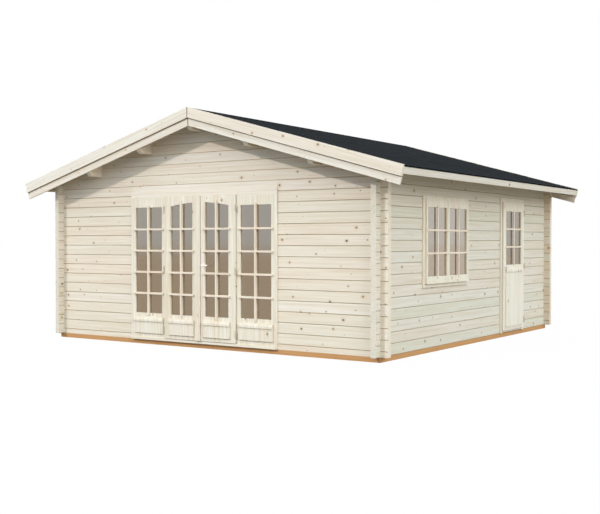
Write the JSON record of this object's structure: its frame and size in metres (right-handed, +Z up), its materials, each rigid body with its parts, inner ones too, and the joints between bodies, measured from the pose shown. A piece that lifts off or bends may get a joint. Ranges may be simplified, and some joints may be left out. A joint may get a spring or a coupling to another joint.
{
  "type": "log cabin",
  "caption": "Square one-room log cabin under a shallow gable roof, with glazed double doors and fixed sidelights in front, and a casement window and a half-glazed door in one side.",
  "frame": {"origin": "middle of the plan at ground level, on the underside of the middle joist", "axes": "+X to the right seen from the front, +Y to the back, +Z up"},
  "size_m": [6.228, 5.884, 3.1013],
  "materials": {
    "wall_logs": "planed, untreated spruce",
    "purlin_timber": "planed, untreated spruce",
    "roof_boards": "planed, untreated spruce",
    "roof_trim": "planed, untreated spruce",
    "joinery": "planed, untreated pine",
    "floor_boards": "planed, untreated spruce",
    "treated_timber": "pressure treated, brown",
    "roof_felt": "bitumen felt, mineral face",
    "window_glass": "clear",
    "handle_steel": "satin",
    "hinge_steel": "zinc plated"
  },
  "bodies": {
    "cabin": {"bearers": "treated_timber", "door_head": "joinery", "door_threshold": "joinery", "eave_board_left": "roof_trim", "eave_board_right": "roof_trim", "floor": "floor_boards", "floor_joists": "treated_timber", "front_frame_hinges": "hinge_steel", "front_gable": "wall_logs", "front_left_bargeboard": "roof_trim", "front_left_cover_board": "roof_trim", "front_right_bargeboard": "roof_trim", "front_right_cover_board": "roof_trim", "front_wall_left": "wall_logs", "front_wall_right": "wall_logs", "left_lower_purlin": "purlin_timber", "left_sidelight": "joinery", "left_upper_purlin": "purlin_timber", "left_wall": "wall_logs", "rear_left_bargeboard": "roof_trim", "rear_left_cover_board": "roof_trim", "rear_right_bargeboard": "roof_trim", "rear_right_cover_board": "roof_trim", "rear_wall": "wall_logs", "ridge_purlin": "purlin_timber", "right_lower_purlin": "purlin_timber", "right_sidelight": "joinery", "right_upper_purlin": "purlin_timber", "right_wall_front": "wall_logs", "right_wall_head": "wall_logs", "right_wall_middle": "wall_logs", "right_wall_rear": "wall_logs", "right_wall_top": "wall_logs", "right_wall_under_window": "wall_logs", "roof_boards_left": "roof_boards", "roof_boards_right": "roof_boards", "roof_felt_left": "roof_felt", "roof_felt_right": "roof_felt", "side_door_frame": "joinery", "side_frame_hinges": "hinge_steel", "sidelight_glass": "window_glass", "window_frame": "joinery", "window_glass": "window_glass", "window_sashes": "joinery"},
    "left_leaf": {"left_leaf": "joinery", "left_leaf_glass": "window_glass", "meeting_strip": "joinery", "left_leaf_hinges": "hinge_steel"},
    "right_leaf": {"right_leaf": "joinery", "right_leaf_glass": "window_glass", "front_lock_plate": "handle_steel", "right_leaf_hinges": "hinge_steel"},
    "front_handle": {"front_lever": "handle_steel"},
    "side_leaf": {"side_leaf": "joinery", "side_leaf_glass": "window_glass", "side_lock_plate": "handle_steel", "side_leaf_hinges": "hinge_steel"},
    "side_handle": {"side_lever": "handle_steel"}
  },
  "joints": [
    {"name": "left_leaf_hinge", "type": "hinge", "parent": "cabin", "child": "left_leaf", "pos_m": [-0.605, -2.72, 0.1], "axis": [0, 0, -1], "range_deg": [0, 110]},
    {"name": "right_leaf_hinge", "type": "hinge", "parent": "cabin", "child": "right_leaf", "pos_m": [0.605, -2.72, 0.1], "axis": [0, 0, 1], "range_deg": [0, 110]},
    {"name": "front_handle_turn", "type": "hinge", "parent": "right_leaf", "child": "front_handle", "pos_m": [0.07, -2.73, 1.082], "axis": [0, 1, 0], "range_deg": [0, 40], "stiffness_Nm_per_rad": 0.8, "springref_deg": -28.65},
    {"name": "side_door_hinge", "type": "hinge", "parent": "cabin", "child": "side_leaf", "pos_m": [2.72, 1.63, 0.1], "axis": [0, 0, 1], "range_deg": [0, 110]},
    {"name": "side_handle_turn", "type": "hinge", "parent": "side_leaf", "child": "side_handle", "pos_m": [2.73, 0.878, 1.025], "axis": [-1, 0, 0], "range_deg": [0, 40], "stiffness_Nm_per_rad": 0.8, "springref_deg": -28.65}
  ]
}
